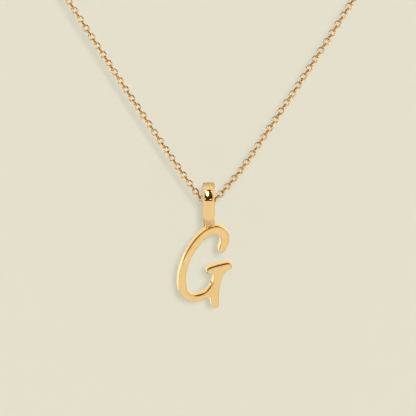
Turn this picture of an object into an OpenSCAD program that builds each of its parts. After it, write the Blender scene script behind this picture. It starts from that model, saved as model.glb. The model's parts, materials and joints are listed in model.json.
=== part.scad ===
// Initial pendant on a fine cable chain. A script capital G hangs by a small soldered ring
// from a tall slotted bail, and the bail slides on a closed necklace chain.
// Millimetres. +Z is up, +X is to the wearer's left as seen from the front, the front faces -Y.
// The origin is the middle of the clasp, where the necklace lies on the nape.

/* [Letter] */
// Height of the letter, from the top of its bow to the foot of its tail
letter_h = 14.8; // [12:0.2:20]
// Thickness of the plate that the letter is cut from
letter_t = 2; // [1.6:0.1:2.4]
// Width of the stroke where it is fullest
stroke_w = 1.5; // [1.2:0.05:1.8]
// How far the letter is turned about the vertical as it hangs, in degrees
letter_turn = 8.5; // [0:0.5:12]

/* [Hanging ring] */
// Wire of the ring soldered on the letter
ring_wire = 0.38; // [0.3:0.02:0.5]
// Room on each side between the ring's inside and the foot of the bail
ring_play = 0.14; // [0.12:0.01:0.2]
// Air between the foot of the bail and the letter under it
foot_gap = 0.32; // [0.3:0.01:0.5]

/* [Bail] */
// Width of the bail, seen from the front
bail_w = 2; // [1.9:0.05:2.6]
// Depth of the bail, from front to back
bail_d = 3.2; // [3:0.1:4]
// Height of the bail
bail_h = 7.45; // [7:0.05:10]
// Front and back walls beside the slot
bail_wall = 0.65; // [0.5:0.05:0.7]
// Solid head above the slot
head_h = 2; // [1.8:0.05:2.4]
// Band that closes the slot at the foot
foot_t = 0.72; // [0.65:0.01:0.8]
// Width of the foot
foot_w = 1.1; // [1:0.05:1.4]
// Height of the narrow foot, from the bottom of the bail
foot_h = 1.2; // [1:0.05:1.4]
// Height of the V that the bottom of the foot is cut to
foot_cut = 0.4; // [0.35:0.05:0.5]
// Height over which the bail narrows to its foot
taper_h = 0.85; // [0.6:0.05:1.4]
// Radius of the rounded upper corners
bail_corner = 0.55; // [0.3:0.05:0.7]

/* [Window] */
// Width of the window sunk in the front of the bail
window_w = 1.28; // [1:0.02:1.5]
// Height of the window
window_h = 1.85; // [1.4:0.05:1.9]
// Distance from the top of the bail to the window
window_drop = 0.75; // [0.6:0.05:0.9]
// Corner radius of the window
window_corner = 0.25; // [0.1:0.05:0.4]
// Depth of the window over the middle of its domed floor
window_sink = 0.2; // [0.1:0.02:0.24]
// Radius of the domed floor
dome_r = 2.2; // [2:0.1:4]

/* [Chain] */
// Length of the whole necklace, clasp included
chain_len = 450; // [400:5:600]
// Width of a link, and so of the chain
link_w = 1.1; // [0.9:0.05:1.15]
// Angle of the left run from the vertical where it leaves the bail, in degrees
left_angle = 34.5; // [33.5:0.5:44]
// Angle of the right run from the vertical where it leaves the bail, in degrees
right_angle = 42; // [33.5:0.5:44]
// Angle of both runs from the vertical once they are clear of the bail, in degrees
run_angle = 32.5; // [28:0.5:33]
// Length over which a run settles to that angle
settle_len = 9; // [6:0.5:12]
// How much steeper each run has become where it meets the neck, in degrees
run_sag = 5; // [2:0.5:8]
// Radius of the bend where the chain passes through the bail
bend_r = 2; // [2:0.1:3]
// Air between the chain's lowest point and the solid head over it
head_play = 0.62; // [0.58:0.02:0.8]

/* [Clasp] */
// Outer diameter of the ring of the clasp
clasp_d = 5; // [4:0.1:7]
// Wire of the ring of the clasp
clasp_wire = 0.9; // [0.7:0.05:1.1]
// Outer diameter of the small eye beside it
eye_d = 1.9; // [1.6:0.1:2.4]
// Wire of the small eye
eye_wire = 0.4; // [0.3:0.05:0.5]
// How far the eye is sunk into the ring where the two are soldered
solder = 0.2; // [0.1:0.02:0.24]
// Air between the clasp and each end of the chain
end_gap = 0.15; // [0.1:0.05:0.3]

/* [Hidden] */

gold = [0.93, 0.76, 0.48];
pale_gold = [0.95, 0.80, 0.53];
arc_fn = 64;
wire_fn = 32;
chain_sides = 8;
curve_steps = 8;
bend_rings = 6;
settle_rings = 4;
run_rings = 5;
neck_rings = 24;
over = 1;

// Each stroke of the letter is a table of [across, down, width]. Across and down are
// shares of letter_h, from the ring's axis and from the top, and width is a share of stroke_w.
bow_stroke = [
    [0.147, -0.281, 0.82],
    [0.174, -0.213, 0.88],
    [0.180, -0.152, 1.00],
    [0.160, -0.091, 1.04],
    [0.105, -0.047, 0.88],
    [0.025, -0.054, 0.82],
    [-0.055, -0.097, 0.78],
    [-0.156, -0.206, 0.75],
    [-0.247, -0.364, 0.78],
    [-0.301, -0.528, 0.83],
    [-0.311, -0.672, 0.94],
    [-0.293, -0.762, 0.98],
    [-0.246, -0.826, 0.84],
    [-0.160, -0.858, 0.68],
    [-0.068, -0.844, 0.68],
    [0.015, -0.795, 0.82],
    [0.075, -0.700, 0.82]
];
stem_stroke = [
    [0.105, -0.543, 1.47],
    [0.103, -0.590, 1.10],
    [0.091, -0.660, 0.91],
    [0.071, -0.760, 0.93],
    [0.063, -0.870, 0.96],
    [0.071, -0.949, 0.88]
];
bar_stroke = [
    [0.004, -0.537, 0.66],
    [0.105, -0.517, 0.81],
    [0.227, -0.490, 0.76]
];
// Depth of the letter's upper edge below its top, under the ring, as a share of letter_h
edge_share = 0.0165;

// Chain route. A heading is the direction of travel from the chain's lowest point: 0 straight out
// to the side and 180 straight back. Each half bends through the bail, settles, runs up and
// rounds the neck, and the two halves share the chain's length so that they meet at the clasp.
run_head = 90 - run_angle;
neck_head = run_head + run_sag;
run_across = (sin(neck_head) - sin(run_head)) / rad(run_sag);
run_up = (cos(run_head) - cos(neck_head)) / rad(run_sag);
neck_rise = (1 + cos(neck_head)) / sin(neck_head);
neck_way = rad(180 - neck_head) / sin(neck_head);
left_start = run_start(left_angle);
right_start = run_start(right_angle);
runs = (chain_len - near_way(left_angle) - near_way(right_angle)
    - (left_start[0] + right_start[0]) * neck_way) / (1 + run_across * neck_way);
lead = (right_start - left_start) * [neck_rise, 1] / (run_up + run_across * neck_rise);
left_run = (runs + lead) / 2;
right_run = (runs - lead) / 2;
chain_low = -(run_end(left_angle, left_run) * [neck_rise, 1]);

// Clasp, laid along the chain: the ring first, the eye after it
eye_step = clasp_d / 2 + eye_d / 2 - solder;
clasp_half = (clasp_d + eye_d - solder) / 2;
clasp_ring_x = clasp_d / 2 - clasp_half;
clasp_end = clasp_half + end_gap;

// Bail: its head rests over the chain, and its foot hangs below
bail_r = bail_d / 2;
slot_r = bail_r - bail_wall;
slot_top = chain_low + link_w / 2 + head_play;
bail_top = slot_top + head_h;
bail_bottom = bail_top - bail_h;
foot_in = bail_bottom + foot_t;
window_z = bail_top - window_drop - window_h / 2;
dome_y = dome_r + window_sink - bail_r;

// Hanging ring: its inside sits on the two edges of the foot
ring_in_r = foot_w / 2 + ring_play;
ring_r = ring_in_r + ring_wire / 2;
ring_z = foot_in - sqrt(pow(ring_in_r - ring_play / 2, 2) - pow(foot_w / 2, 2));
letter_top = bail_bottom - foot_gap + edge_share * letter_h;

function rad(a) = a * PI / 180;

// A smooth curve through the rows of a stroke table, and its two sides
function spline(a, b, c, d, t) =
    (2 * b + (c - a) * t + (2 * a - 5 * b + 4 * c - d) * t * t + (3 * b - a - 3 * c + d) * t * t * t) / 2;
function with_ends(rows) = let (n = len(rows))
    concat([2 * rows[0] - rows[1]], rows, [2 * rows[n - 1] - rows[n - 2]]);
function smooth(rows) = let (e = with_ends(rows), last = len(rows) - 2)
    concat([for (i = [0:last], s = [0:curve_steps - 1])
        spline(e[i], e[i + 1], e[i + 2], e[i + 3], s / curve_steps)], [rows[last + 1]]);
function sized(rows) = [for (r = rows) [r[0] * letter_h, r[1] * letter_h, r[2] * stroke_w / 2]];
function across(c, i) = let (
        a = c[max(i - 1, 0)],
        b = c[min(i + 1, len(c) - 1)],
        d = [b[0] - a[0], b[1] - a[1]]
    ) [-d[1], d[0]] / norm(d);
function side(c, way) = [for (i = [0:len(c) - 1]) [c[i][0], c[i][1]] + way * c[i][2] * across(c, i)];
function reversed(p) = [for (i = [len(p) - 1:-1:0]) p[i]];

// Points of the chain's middle line, as [out to the side, up from its lowest point]
function arc(start, r, h0, h) = start + r * [sin(h) - sin(h0), cos(h0) - cos(h)];
function near_way(angle) = bend_r * rad(90 - angle) + settle_len;
function bend_end(angle) = arc([0, 0], bend_r, 0, 90 - angle);
function settle_r(angle) = settle_len / rad(angle - run_angle);
function run_start(angle) = arc(bend_end(angle), settle_r(angle), 90 - angle, run_head);
function run_end(angle, length) = run_start(angle) + length * [run_across, run_up];

// Stations of an arc and of one half of the chain, as [out, up, heading]
function stations(start, r, h0, h1, steps) = [for (i = [0:steps - 1])
    let (h = h0 + (h1 - h0) * i / steps, p = arc(start, r, h0, h)) [p[0], p[1], h]];
function half_route(angle, length) = let (
        neck_start = run_end(angle, length),
        neck_r = neck_start[0] / sin(neck_head),
        last_head = 180 - asin(clasp_end / neck_r),
        last = arc(neck_start, neck_r, neck_head, last_head)
    ) concat(
        stations([0, 0], bend_r, 0, 90 - angle, bend_rings),
        stations(bend_end(angle), settle_r(angle), 90 - angle, run_head, settle_rings),
        stations(run_start(angle), length / rad(run_sag), run_head, neck_head, run_rings),
        stations(neck_start, neck_r, neck_head, last_head, neck_rings),
        [[last[0], last[1], last_head]]);
right_half = half_route(right_angle, right_run);
left_half = half_route(left_angle, left_run);
route = concat(
    [for (i = [len(left_half) - 1:-1:1]) let (s = left_half[i]) [-s[0], s[1], -s[2]]],
    right_half);

module stroke(rows) {
    line = smooth(sized(rows));
    polygon(concat(side(line, 1), reversed(side(line, -1))));
}

module stroke_end(row) {
    translate([row[0], row[1]] * letter_h)
        circle(r = row[2] * stroke_w / 2, $fn = wire_fn);
}

module letter_outline() {
    stroke(bow_stroke);
    stroke_end(bow_stroke[0]);
    stroke_end(bow_stroke[len(bow_stroke) - 1]);
    stroke(stem_stroke);
    stroke_end(stem_stroke[len(stem_stroke) - 1]);
    stroke(bar_stroke);
    stroke_end(bar_stroke[0]);
    stroke_end(bar_stroke[len(bar_stroke) - 1]);
}

module wire_ring(r, wire) {
    rotate([90, 0, 0])
        rotate_extrude($fn = arc_fn)
            translate([r, 0])
                circle(d = wire, $fn = wire_fn);
}

module rounded_plate(w, h, r) {
    square([w - 2 * r, h], center = true);
    square([w, h - 2 * r], center = true);
    for (x = [-1, 1], z = [-1, 1])
        translate([x * (w / 2 - r), z * (h / 2 - r)])
            circle(r = r, $fn = wire_fn);
}

// A flat shape of x across and z up, made solid along Y
module plate(depth) {
    rotate([90, 0, 0])
        linear_extrude(height = depth, center = true)
            children();
}

// A slot shape of half width r between two heights, made solid along X
module long_round(r, low, high, length) {
    rotate([90, 0, 90])
        linear_extrude(height = length, center = true) {
            translate([-r, low + r])
                square([2 * r, high - low - 2 * r]);
            for (z = [low + r, high - r])
                translate([0, z])
                    circle(r = r, $fn = arc_fn);
        }
}

module letter() {
    color(gold)
        rotate([0, 0, letter_turn])
            union() {
                translate([0, 0, letter_top])
                    plate(letter_t)
                        letter_outline();
                translate([0, 0, ring_z])
                    wire_ring(ring_r, ring_wire);
            }
}

module bail_front() {
    shoulder = bail_top - bail_corner;
    narrow = bail_bottom + foot_h;
    polygon([
        [-foot_w / 2, bail_bottom + foot_cut],
        [0, bail_bottom - foot_cut / 4],
        [foot_w / 2, bail_bottom + foot_cut],
        [foot_w / 2, narrow],
        [bail_w / 2, narrow + taper_h],
        [bail_w / 2, shoulder],
        [-bail_w / 2, shoulder],
        [-bail_w / 2, narrow + taper_h],
        [-foot_w / 2, narrow]
    ]);
    translate([bail_corner - bail_w / 2, shoulder])
        square([bail_w - 2 * bail_corner, bail_corner]);
    for (x = [-1, 1])
        translate([x * (bail_w / 2 - bail_corner), shoulder])
            circle(r = bail_corner, $fn = wire_fn);
}

module window() {
    difference() {
        translate([0, -bail_r, window_z])
            plate(bail_r)
                rounded_plate(window_w, window_h, window_corner);
        translate([0, dome_y, window_z])
            sphere(r = dome_r, $fn = arc_fn);
    }
}

module bail() {
    color(pale_gold)
        difference() {
            intersection() {
                long_round(bail_r, bail_bottom, bail_top, bail_w + over);
                plate(bail_d + over)
                    bail_front();
            }
            long_round(slot_r, foot_in, slot_top, bail_w + over);
            window();
        }
}

module chain() {
    rings = [for (s = route, k = [0:chain_sides - 1])
        let (a = 360 * (k + 0.5) / chain_sides, out = link_w / 2 * cos(a))
        [s[0] - out * sin(s[2]), link_w / 2 * sin(a), chain_low + s[1] + out * cos(s[2])]];
    last = len(route) - 1;
    walls = [for (i = [0:last - 1], k = [0:chain_sides - 1])
        let (a = i * chain_sides + k, b = i * chain_sides + (k + 1) % chain_sides)
        [a, b, b + chain_sides, a + chain_sides]];
    start_cap = [[for (k = [chain_sides - 1:-1:0]) k]];
    end_cap = [[for (k = [0:chain_sides - 1]) last * chain_sides + k]];
    color(gold)
        polyhedron(points = rings, faces = concat(walls, start_cap, end_cap));
}

module clasp() {
    color(pale_gold)
        union() {
            translate([clasp_ring_x, 0, 0])
                wire_ring((clasp_d - clasp_wire) / 2, clasp_wire);
            translate([clasp_ring_x + eye_step, 0, 0])
                wire_ring((eye_d - eye_wire) / 2, eye_wire);
        }
}

letter();
bail();
chain();
clasp();
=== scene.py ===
import json
import math

import bmesh
import bpy
from mathutils import Matrix, Vector

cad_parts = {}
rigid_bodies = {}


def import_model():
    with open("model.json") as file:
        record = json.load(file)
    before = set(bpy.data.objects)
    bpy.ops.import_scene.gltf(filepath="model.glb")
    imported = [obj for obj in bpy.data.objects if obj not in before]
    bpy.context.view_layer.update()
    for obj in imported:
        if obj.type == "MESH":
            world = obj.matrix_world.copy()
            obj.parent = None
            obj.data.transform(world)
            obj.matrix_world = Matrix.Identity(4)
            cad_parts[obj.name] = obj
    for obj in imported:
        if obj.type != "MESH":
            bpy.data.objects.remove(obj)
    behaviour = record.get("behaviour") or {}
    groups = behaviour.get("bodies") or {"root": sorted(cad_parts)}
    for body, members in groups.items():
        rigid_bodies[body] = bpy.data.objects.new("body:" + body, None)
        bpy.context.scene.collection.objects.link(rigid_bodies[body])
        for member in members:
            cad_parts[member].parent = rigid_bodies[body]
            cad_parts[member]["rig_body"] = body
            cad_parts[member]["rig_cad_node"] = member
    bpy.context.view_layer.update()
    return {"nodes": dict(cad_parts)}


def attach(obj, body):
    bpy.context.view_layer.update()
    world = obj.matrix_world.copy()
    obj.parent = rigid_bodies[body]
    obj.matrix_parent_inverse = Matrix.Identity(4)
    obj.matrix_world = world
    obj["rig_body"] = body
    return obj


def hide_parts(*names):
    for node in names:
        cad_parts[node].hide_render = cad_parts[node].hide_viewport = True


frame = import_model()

MM = 0.001
scene = bpy.context.scene
scene.view_settings.view_transform = "Standard"

# ---- Camera
# A long lens 0.6 m off, looking down by 20 degrees. The picture is 69.33 mm wide at the pendant,
# so a millimetre takes six pixels there.
picture_width = 69.33 * MM
camera_range = 0.6
camera_rise = math.radians(20)
camera_aim = Vector((-0.1, 0, -176.106)) * MM
camera_back = Vector((0, -math.cos(camera_rise), math.sin(camera_rise)))

bpy.ops.object.camera_add(
    location=camera_aim + camera_back * camera_range,
    rotation=(math.pi / 2 - camera_rise, 0, 0),
)
camera = bpy.context.object
camera.data.sensor_width = 36
camera.data.lens = 36 * camera_range / picture_width
camera.data.clip_start = 0.05
scene.camera = camera

# ---- Wall and floor
# A sheet of pale card stands 22 mm behind the necklace and takes its soft shadow, and a pale floor
# lies under it. Both are matt paper stock. The card is seen from its front only, so that it
# doesn't hide the necklace from behind.
paper = "#EAE8DD"
wall_y = 22 * MM
wall_size = (1.0, 0.9)
floor_z = -0.25
floor_half = 6.0
paper_grain = 0.4 * MM


def linear(colour):
    """An sRGB hex colour as the linear RGBA that shader sockets take."""
    shares = [int(colour[i:i + 2], 16) / 255 for i in (1, 3, 5)]
    return [c / 12.92 if c <= 0.04045 else ((c + 0.055) / 1.055) ** 2.4 for c in shares] + [1]


def add_node(tree, kind, sockets=None, **settings):
    """Adds a node, sets its properties, and links or fills its input sockets."""
    made = tree.nodes.new(kind)
    for name, value in settings.items():
        setattr(made, name, value)
    for socket, value in (sockets or {}).items():
        if isinstance(value, bpy.types.NodeSocket):
            tree.links.new(value, made.inputs[socket])
        else:
            made.inputs[socket].default_value = value
    return made


def new_material(name):
    """An empty material, and its node tree."""
    made = bpy.data.materials.new(name)
    made.use_nodes = True
    made.node_tree.nodes.clear()
    return made, made.node_tree


matt_paper, tree = new_material("matt_paper")
place = add_node(tree, "ShaderNodeTexCoord")
grain = add_node(tree, "ShaderNodeTexNoise", {
    "Vector": place.outputs["Object"], "Scale": 1 / paper_grain, "Detail": 3.0})
relief = add_node(tree, "ShaderNodeBump", {
    "Height": grain.outputs["Fac"], "Strength": 0.15, "Distance": 0.01 * MM})
sheet = add_node(tree, "ShaderNodeBsdfDiffuse", {
    "Color": linear(paper), "Roughness": 0.5, "Normal": relief.outputs["Normal"]})
clear = add_node(tree, "ShaderNodeBsdfTransparent")
side = add_node(tree, "ShaderNodeNewGeometry")
one_sided = add_node(tree, "ShaderNodeMixShader", {
    0: side.outputs["Backfacing"], 1: sheet.outputs[0], 2: clear.outputs[0]})
add_node(tree, "ShaderNodeOutputMaterial", {"Surface": one_sided.outputs[0]})

bpy.ops.mesh.primitive_plane_add(size=1)
wall = bpy.context.object
wall.name = "wall"
wall.dimensions = (*wall_size, 0)
wall.rotation_euler = (math.pi / 2, 0, 0)
wall.location = (0, wall_y, floor_z + wall_size[1] / 2)
bpy.ops.object.transform_apply()
wall.data.materials.append(matt_paper)
wall.visible_glossy = False

bpy.ops.mesh.primitive_plane_add(size=2 * floor_half, location=(0, 0, floor_z))
floor = bpy.context.object
floor.name = "floor"
bpy.ops.object.transform_apply()
floor.data.materials.append(matt_paper)
floor.visible_glossy = False

# ---- Studio light
# The paper gets even light from all round and a soft key from just beside the lens. The gold
# mirrors a dim brown room with a few softboxes, as jewellery is lit, each placed by what has to
# show in it. A box's azimuth is 0 in front, 90 on the right, and its rise is over the horizon.
room_light = "#FFFDF8"
room_strength = 0.79
room_brown = "#4A2E12"
key_strength = 0.84
key_angle = math.radians(3.4)
key_from = Vector((0.038, -1, 0.404))
pendant = Vector((0, 0, -183.3)) * MM
box_range = 0.35

world = bpy.data.worlds.new("studio")
scene.world = world
world.use_nodes = True
world.cycles.sampling_method = "NONE"
tree = world.node_tree
tree.nodes.clear()
path = add_node(tree, "ShaderNodeLightPath")
even = add_node(tree, "ShaderNodeBackground", {
    "Color": linear(room_light), "Strength": room_strength})
brown = add_node(tree, "ShaderNodeBackground", {"Color": linear(room_brown), "Strength": 1.0})
room = add_node(tree, "ShaderNodeMixShader", {
    0: path.outputs["Is Glossy Ray"], 1: even.outputs[0], 2: brown.outputs[0]})
add_node(tree, "ShaderNodeOutputWorld", {"Surface": room.outputs[0]})

bpy.ops.object.light_add(type="SUN", location=pendant + key_from)
key = bpy.context.object
key.name = "key"
key.rotation_euler = key_from.to_track_quat("Z", "Y").to_euler()
key.data.energy = key_strength
key.data.angle = key_angle
key.visible_glossy = False


def softbox(name, azimuth, rise, across, up, strength, colour="#FFFFFF", shape="RECTANGLE"):
    """A softbox facing the pendant. Across and up are the angles it fills, in degrees."""
    a, e = math.radians(azimuth), math.radians(rise)
    back = Vector((math.sin(a) * math.cos(e), -math.cos(a) * math.cos(e), math.sin(e)))
    bpy.ops.object.light_add(type="AREA", location=pendant + back * box_range)
    box = bpy.context.object
    box.name = name
    box.rotation_euler = back.to_track_quat("Z", "Y").to_euler()
    box.data.shape = shape
    box.data.size = 2 * box_range * math.tan(math.radians(across / 2))
    box.data.size_y = 2 * box_range * math.tan(math.radians(up / 2))
    box.data.energy = strength * 4 * box.data.size * box.data.size_y
    box.data.color = linear(colour)[:3]
    box.visible_camera = False
    box.visible_diffuse = False
    box.visible_shadow = False


softbox("box_window", -10, -4, 20, 42, 4.0, shape="ELLIPSE")
softbox("box_right", 52, -12, 34, 60, 3.0)
softbox("box_top", 0, 75, 60, 50, 1.5)
softbox("box_left", -74, -15, 40, 60, 1.4)
softbox("box_back", 180, -9, 74, 70, 0.9, "#FFEBCD")
softbox("box_side", -123, -25, 54, 40, 0.85, "#FFEBCD")
softbox("box_under", 0, -92, 46, 46, 1.5)

# ---- Letter
# A script capital cut from 2 mm brass plate, with a small wire ring soldered on its upper edge,
# then gold plated. Its flat sides, their rounded rims and the ring are satin. Its cut walls and
# the solder are polished.
satin_gold = "#EFD49B"
satin_gold_deep = "#E9C98A"
satin_metal = 0.6
polished_gold = "#F7DA9D"
polished_gold_deep = "#EFCB8A"
letter_turn = math.radians(8.5)
letter_front = Vector((math.sin(letter_turn), -math.cos(letter_turn), 0))
letter_side = Vector((math.cos(letter_turn), math.sin(letter_turn), 0))
letter_half = 1 * MM
filed_corner = letter_side * 0.55 * MM + letter_front * letter_half + Vector((0, 0, -189.3)) * MM
filed_reach = 0.65 * MM
filed_passes = 16
outline_step = 0.12 * MM
outline_passes = 8
slit_turn = math.radians(150)
front_crown = [(i * MM, y * MM) for i, y in (
    (0, -0.25), (0.015, -0.55), (0.045, -0.78), (0.09, -0.92), (0.16, -1))]
satin_lean = 0.25
facing = 0.99
back_crown = [(i * MM, y * MM) for i, y in (
    (0, 0.7), (0.006, 0.82), (0.03, 0.93), (0.07, 0.98), (0.13, 1))]
ring_r = 0.88 * MM
ring_wire = 0.38 * MM
ring_z = -178.703 * MM
ring_low = -179.15 * MM
solder_z = -179.5 * MM
solder_size = Vector((0.34, 0.26, 0.1)) * MM
brush_gap = 0.1 * MM
brush_length = 2.5 * MM
plating_cloud = 3 * MM
polish_ripple = 0.5 * MM
flat_merge = math.radians(0.5)
sharp_angle = math.radians(35)

# Satin gold plate on brass, rubbed down with fine abrasive: a wide soft sheen with faint upright
# hairlines, drawn 0.1 mm apart because real ones, of some 0.02 mm, are too fine to show.
satin_plate, tree = new_material("satin_gold_plate")
place = add_node(tree, "ShaderNodeTexCoord")
cloud = add_node(tree, "ShaderNodeTexNoise", {
    "Vector": place.outputs["Object"], "Scale": 1 / plating_cloud, "Detail": 2.0})
tint = add_node(tree, "ShaderNodeMix", {
    "Factor": cloud.outputs["Fac"], 6: linear(satin_gold), 7: linear(satin_gold_deep)},
    data_type="RGBA")
lie = add_node(tree, "ShaderNodeMapping", {
    "Vector": place.outputs["Object"],
    "Scale": (1 / brush_gap, 1 / brush_gap, 1 / brush_length)})
hairline = add_node(tree, "ShaderNodeTexNoise", {
    "Vector": lie.outputs["Vector"], "Scale": 1.0, "Detail": 2.0})
sheen = add_node(tree, "ShaderNodeMapRange", {
    "Value": hairline.outputs["Fac"], "To Min": 0.6, "To Max": 0.72})
scratch = add_node(tree, "ShaderNodeBump", {
    "Height": hairline.outputs["Fac"], "Strength": 0.35, "Distance": 0.004 * MM})
plate = add_node(tree, "ShaderNodeBsdfPrincipled", {
    "Base Color": tint.outputs[2], "Metallic": satin_metal, "Roughness": sheen.outputs["Result"],
    "Normal": scratch.outputs["Normal"]})
add_node(tree, "ShaderNodeOutputMaterial", {"Surface": plate.outputs[0]})

# Polished gold plate on brass, tumbled bright: mirrors its surroundings, with the slight ripple
# that tumbling leaves and small changes in gloss where it has been touched.
polished_plate, tree = new_material("polished_gold_plate")
place = add_node(tree, "ShaderNodeTexCoord")
cloud = add_node(tree, "ShaderNodeTexNoise", {
    "Vector": place.outputs["Object"], "Scale": 1 / plating_cloud, "Detail": 2.0})
tint = add_node(tree, "ShaderNodeMix", {
    "Factor": cloud.outputs["Fac"], 6: linear(polished_gold), 7: linear(polished_gold_deep)},
    data_type="RGBA")
ripple = add_node(tree, "ShaderNodeTexNoise", {
    "Vector": place.outputs["Object"], "Scale": 1 / polish_ripple, "Detail": 1.0})
gloss = add_node(tree, "ShaderNodeMapRange", {
    "Value": ripple.outputs["Fac"], "To Min": 0.1, "To Max": 0.16})
wave = add_node(tree, "ShaderNodeBump", {
    "Height": ripple.outputs["Fac"], "Strength": 0.2, "Distance": 0.004 * MM})
plate = add_node(tree, "ShaderNodeBsdfPrincipled", {
    "Base Color": tint.outputs[2], "Metallic": 1.0, "Roughness": gloss.outputs["Result"],
    "Normal": wave.outputs["Normal"]})
add_node(tree, "ShaderNodeOutputMaterial", {"Surface": plate.outputs[0]})


def working_copy(node, name):
    """A free copy of a CAD node, merged and with its flat sides made whole, left in edit mode."""
    bpy.ops.object.select_all(action="DESELECT")
    made = frame["nodes"][node].copy()
    made.data = made.data.copy()
    made.parent = None
    del made["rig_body"], made["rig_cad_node"]
    made.name = made.data.name = name
    made.data.materials.clear()
    scene.collection.objects.link(made)
    made.select_set(True)
    bpy.context.view_layer.objects.active = made
    bpy.ops.object.mode_set(mode="EDIT")
    bpy.ops.mesh.select_all(action="SELECT")
    bpy.ops.mesh.remove_doubles(threshold=0.002 * MM)
    bpy.ops.mesh.dissolve_limited(angle_limit=flat_merge)
    bpy.ops.mesh.select_mode(type="EDGE")
    bpy.ops.mesh.select_all(action="DESELECT")
    return made


def smooth_finish(piece):
    """Smooth shading that keeps flat sides flat."""
    bpy.ops.object.mode_set(mode="OBJECT")
    bpy.ops.object.shade_smooth_by_angle(angle=sharp_angle)
    bpy.ops.object.modifier_add(type="WEIGHTED_NORMAL")
    piece.modifiers[-1].keep_sharp = True
    bpy.ops.object.modifier_apply(modifier=piece.modifiers[-1].name)


letter = working_copy("letter", "letter_plate")
bpy.ops.mesh.select_mode(type="FACE")
shape = bmesh.from_edit_mesh(letter.data)
for face in shape.faces:
    on_front = face.calc_center_median().dot(letter_front) > 0.95 * letter_half
    face.select_set(face.normal.dot(letter_front) < facing or not on_front)
bmesh.update_edit_mesh(letter.data)
bpy.ops.mesh.delete(type="FACE")
bpy.ops.mesh.select_all(action="SELECT")
bpy.ops.mesh.remove_doubles(threshold=outline_step)
# A slit, some microns wide, runs into the plate under the bar: its end is taken out.
bpy.ops.mesh.select_mode(type="VERT")
bpy.ops.mesh.select_all(action="DESELECT")
shape = bmesh.from_edit_mesh(letter.data)
for vertex in shape.verts:
    before, after = (edge.other_vert(vertex).co for edge in vertex.link_edges)
    vertex.select_set((vertex.co - before).angle(after - vertex.co) > slit_turn)
bmesh.update_edit_mesh(letter.data)
bpy.ops.mesh.dissolve_verts()
bpy.ops.mesh.select_all(action="SELECT")
bpy.ops.mesh.subdivide(number_cuts=1)
bpy.ops.mesh.vertices_smooth(factor=0.5, repeat=outline_passes)
# The bow runs into the stem in a hollow that is filed round.
bpy.ops.mesh.select_all(action="DESELECT")
shape = bmesh.from_edit_mesh(letter.data)
for vertex in shape.verts:
    vertex.select_set((vertex.co - filed_corner).length < filed_reach)
bmesh.update_edit_mesh(letter.data)
bpy.ops.mesh.vertices_smooth(factor=0.5, repeat=filed_passes)
bpy.ops.mesh.select_all(action="SELECT")
bpy.ops.mesh.select_mode(type="FACE")
bpy.ops.transform.translate(value=-letter_front * (letter_half + front_crown[0][1]))
bpy.ops.mesh.extrude_region_move(
    TRANSFORM_OT_translate={"value": letter_front * (front_crown[0][1] - back_crown[0][1])})
bpy.ops.mesh.select_all(action="SELECT")
bpy.ops.mesh.normals_make_consistent(inside=False)
for crown, way in ((front_crown, 1), (back_crown, -1)):
    bpy.ops.mesh.select_all(action="DESELECT")
    shape = bmesh.from_edit_mesh(letter.data)
    for face in shape.faces:
        face.select_set(way * face.normal.dot(letter_front) > facing)
    bmesh.update_edit_mesh(letter.data)
    for (inset, place_y), (next_inset, next_y) in zip(crown, crown[1:]):
        bpy.ops.mesh.inset(
            thickness=next_inset - inset, depth=abs(next_y - place_y), use_even_offset=False)
bpy.ops.object.mode_set(mode="OBJECT")
letter.data.materials.append(polished_plate)
letter.data.materials.append(satin_plate)
for face in letter.data.polygons:
    face.material_index = int(abs(face.normal.dot(letter_front)) > satin_lean)

bpy.ops.mesh.primitive_torus_add(
    major_segments=64, minor_segments=20, major_radius=ring_r, minor_radius=ring_wire / 2,
    location=(0, 0, ring_z), rotation=(math.pi / 2, 0, letter_turn))
ring = bpy.context.object
bpy.ops.mesh.primitive_uv_sphere_add(
    segments=24, ring_count=12, radius=1, location=(0, 0, solder_z), rotation=(0, 0, letter_turn))
solder = bpy.context.object
solder.scale = solder_size
for made in (ring, solder):
    made.data.materials.append(polished_plate)
    made.select_set(True)
letter.select_set(True)
bpy.context.view_layer.objects.active = letter
bpy.ops.object.join()
bpy.ops.object.transform_apply()
bpy.ops.object.mode_set(mode="EDIT")
smooth_finish(letter)
for face in letter.data.polygons:
    if face.center.z > ring_low:
        face.material_index = 1
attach(letter, "letter")
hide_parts("letter")

# ---- Bail
# A tall slotted loop of gold-plated brass that hangs on the chain and holds the letter's ring in
# its foot. It is satin outside and polished in its slot and on the dome of the window sunk in its
# front. The window's narrow walls are coloured dark brown as painted shade.
bail_edge = 0.13 * MM
window_edge = 0.05 * MM
window_half = Vector((0.64, 0.925)) * MM
window_back = -1.05 * MM
window_z = -173.362 * MM
dome_r = 2.2 * MM
dome_middle = Vector((0, 0.8 * MM, window_z))
dome_slack = 0.03 * MM
arch_z = -173.287 * MM
wall_lean = 0.96
slot_half = 0.97 * MM
slot_low, slot_high = -178.46 * MM, -173.65 * MM

# Painted shade: the window's narrow walls get a dark brown gold colour that stands in for the
# shade and dark reflections in the recess, so that the bright dome stands out, with a soft, uneven
# gloss.
window_shade_colour = "#5A3A1A"
window_shade_plate, tree = new_material("painted_shade_window_plate")
place = add_node(tree, "ShaderNodeTexCoord")
shade_gloss_noise = add_node(tree, "ShaderNodeTexNoise", {
    "Vector": place.outputs["Object"], "Scale": 1 / polish_ripple, "Detail": 2.0})
gloss = add_node(tree, "ShaderNodeMapRange", {
    "Value": shade_gloss_noise.outputs["Fac"], "To Min": 0.28, "To Max": 0.4})
plate = add_node(tree, "ShaderNodeBsdfPrincipled", {
    "Base Color": linear(window_shade_colour), "Metallic": 1.0, "Roughness": gloss.outputs["Result"]})
add_node(tree, "ShaderNodeOutputMaterial", {"Surface": plate.outputs[0]})


def by_window(x, y, z):
    """Whether a place lies in the window or on its rounded rim."""
    return (abs(x) < window_half.x + window_edge and y < window_back
            and abs(z - window_z) < window_half.y + window_edge)


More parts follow.
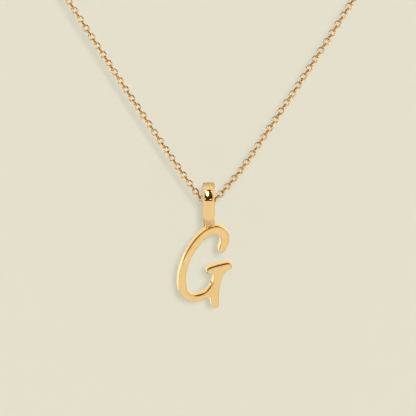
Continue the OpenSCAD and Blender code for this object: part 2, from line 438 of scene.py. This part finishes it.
bail = working_copy("bail", "bail_body")
for offset, at_rim in ((window_edge, True), (bail_edge, False)):
    bpy.ops.mesh.select_all(action="DESELECT")
    shape = bmesh.from_edit_mesh(bail.data)
    for edge in shape.edges:
        middle = (edge.verts[0].co + edge.verts[1].co) / 2
        if len(edge.link_faces) == 2 and by_window(*middle) == at_rim:
            sharp = edge.calc_face_angle() > sharp_angle
            edge.select_set(sharp and (edge.is_convex or not at_rim))
    bmesh.update_edit_mesh(bail.data)
    bpy.ops.mesh.bevel(
        offset=offset, segments=3, profile=0.5, affect="EDGES", clamp_overlap=False)
smooth_finish(bail)
bail.data.materials.append(satin_plate)
bail.data.materials.append(polished_plate)
bail.data.materials.append(window_shade_plate)
for face in bail.data.polygons:
    x, y, z = face.center
    outward = Vector((0, y, max(z - arch_z, 0))).normalized()
    in_slot = (abs(y) < slot_half and slot_low < z < slot_high
               and abs(face.normal.x) < 0.5)
    on_dome = abs((face.center - dome_middle).length - dome_r) < dome_slack
    if in_slot or by_window(x, y, z) and on_dome:
        face.material_index = 1
    # Painted shade: the window's walls and rim take the dark brown colour.
    elif by_window(x, y, z) and face.normal.dot(outward) < wall_lean:
        face.material_index = 2
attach(bail, "bail")
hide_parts("bail")

# ---- Chain
# A fine cable chain of small round wire links, each turned a quarter against the next, soldered
# shut and polished. It runs through the bail, up in a V and round the space of the neck.
wire_gold = "#E2B770"
wire_gold_deep = "#C29556"
wire_cloud = 0.8 * MM

# Polished gold plate on fine wire. The plating is thinner and redder where the links were soldered
# and have rubbed, so its colour changes from link to link.
polished_wire, tree = new_material("polished_gold_wire")
place = add_node(tree, "ShaderNodeTexCoord")
cloud = add_node(tree, "ShaderNodeTexNoise", {
    "Vector": place.outputs["Object"], "Scale": 1 / wire_cloud, "Detail": 1.0})
tint = add_node(tree, "ShaderNodeMix", {
    "Factor": cloud.outputs["Fac"], 6: linear(wire_gold), 7: linear(wire_gold_deep)},
    data_type="RGBA")
gloss = add_node(tree, "ShaderNodeMapRange", {
    "Value": cloud.outputs["Fac"], "To Min": 0.14, "To Max": 0.26})
plate = add_node(tree, "ShaderNodeBsdfPrincipled", {
    "Base Color": tint.outputs[2], "Metallic": 1.0, "Roughness": gloss.outputs["Result"]})
add_node(tree, "ShaderNodeOutputMaterial", {"Surface": plate.outputs[0]})

chain_low = -174.857 * MM
left_angle, right_angle = math.radians(34.5), math.radians(42)
left_run, right_run = 92.0903 * MM, 92.1137 * MM
left_half, right_half = 224.745 * MM, 225.254 * MM
run_angle = math.radians(32.5)
run_sag = math.radians(5)
bend_r = 2 * MM
settle = 9 * MM
link_length = 1.343 * MM
link_width = 1.1 * MM
link_wire = 0.23 * MM
eye_reach = 3.39 * MM
jump_reach = 4.49 * MM
face_on_at = 2.42 * MM
right_links, left_links = 249, 252


def arc_end(start, r, head, length):
    """Where an arc ends, and its heading there: 0 is straight out and 90 degrees is up."""
    end = head + length / r
    turn = Vector((math.sin(end) - math.sin(head), 0, math.cos(head) - math.cos(end)))
    return start + r * turn, end


def half_route(angle, run):
    """One half of the chain as arcs, each with its start, radius, heading and length."""
    leave = math.pi / 2 - angle
    arcs = [(Vector((0, 0, chain_low)), bend_r, 0, bend_r * leave)]
    for r, length in ((settle / (angle - run_angle), settle), (run / run_sag, run)):
        start, head = arc_end(*arcs[-1])
        arcs.append((start, r, head, length))
    start, head = arc_end(*arcs[-1])
    r = start.x / math.sin(head)
    return arcs + [(start, r, head, r * (math.pi - head))]


left_arcs = half_route(left_angle, left_run)
right_arcs = half_route(right_angle, right_run)


def route(s):
    """The chain's middle line at length s from its lowest point, positive to the right."""
    way = abs(s)
    for start, r, head, length in right_arcs if s > 0 else left_arcs:
        if way <= length:
            break
        way -= length
    spot = arc_end(start, r, head, way)[0]
    return Vector((math.copysign(spot.x, s), 0, spot.z))


bpy.ops.object.select_all(action="DESELECT")
bpy.ops.mesh.primitive_torus_add(
    major_segments=16, minor_segments=6,
    major_radius=(link_width - link_wire) / 2, minor_radius=link_wire / 2)
link = bpy.context.object
bpy.ops.object.mode_set(mode="EDIT")
for way in (-1, 1):
    bpy.ops.mesh.select_all(action="DESELECT")
    shape = bmesh.from_edit_mesh(link.data)
    for vertex in shape.verts:
        vertex.select_set(way * vertex.co.x > link_wire / 10)
    bmesh.update_edit_mesh(link.data)
    bpy.ops.transform.translate(value=(way * (link_length - link_width) / 2, 0, 0))
bpy.ops.object.mode_set(mode="OBJECT")
bpy.ops.object.shade_smooth()

right_pitch = (right_half - eye_reach - face_on_at) / right_links
left_pitch = (left_half - jump_reach + face_on_at) / left_links
links = []
for k in range(right_links + left_links + 1):
    pitch = right_pitch if k < right_links else left_pitch
    middle = face_on_at + (right_links - k) * pitch
    ends = [route(middle + pitch / 2), route(middle - pitch / 2)]
    along = (ends[0] - ends[1]).normalized()
    flat = Vector((0, 1, 0)) if k % 2 else along.cross(Vector((0, 1, 0)))
    made = bpy.data.objects.new("link", link.data.copy())
    scene.collection.objects.link(made)
    made.matrix_world = (Matrix.Translation((ends[0] + ends[1]) / 2)
                         @ Matrix((along, flat.cross(along), flat)).transposed().to_4x4())
    links.append(made)
bpy.data.objects.remove(link)
bpy.ops.object.select_all(action="DESELECT")
for made in links:
    made.select_set(True)
chain = links[0]
bpy.context.view_layer.objects.active = chain
bpy.ops.object.join()
bpy.ops.object.transform_apply()
chain.name = chain.data.name = "chain_links"
chain.data.materials.append(polished_wire)
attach(chain, "necklace")
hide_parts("chain")

# ---- Clasp and jump ring
# The closed ring with its small eye, left plain, and the open wire ring that ties it to the
# chain's other end. Both are polished gold plate.
jump_r = 0.95 * MM
jump_wire = 0.3 * MM
jump_x = -3.25 * MM

clasp = working_copy("clasp", "clasp_ring")
smooth_finish(clasp)
clasp.data.materials.append(polished_plate)
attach(clasp, "necklace")
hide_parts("clasp")

bpy.ops.object.select_all(action="DESELECT")
bpy.ops.mesh.primitive_torus_add(
    major_segments=48, minor_segments=12, major_radius=jump_r, minor_radius=jump_wire / 2,
    location=(jump_x, 0, 0))
jump_ring = bpy.context.object
jump_ring.name = jump_ring.data.name = "jump_ring"
bpy.ops.object.transform_apply()
bpy.ops.object.mode_set(mode="EDIT")
bpy.ops.mesh.select_mode(type="FACE")
bpy.ops.mesh.select_all(action="DESELECT")
shape = bmesh.from_edit_mesh(jump_ring.data)
for face in shape.faces:
    middle = face.calc_center_median() - Vector((jump_x, 0, 0))
    face.select_set(middle.y < 0 and 0 < middle.x < 0.1 * MM)
bmesh.update_edit_mesh(jump_ring.data)
bpy.ops.mesh.delete(type="FACE")
bpy.ops.mesh.select_mode(type="EDGE")
bpy.ops.mesh.select_all(action="DESELECT")
bpy.ops.mesh.select_non_manifold()
bpy.ops.mesh.fill_holes(sides=0)
bpy.ops.mesh.select_all(action="SELECT")
bpy.ops.mesh.normals_make_consistent(inside=False)
smooth_finish(jump_ring)
jump_ring.data.materials.append(polished_plate)
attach(jump_ring, "necklace")
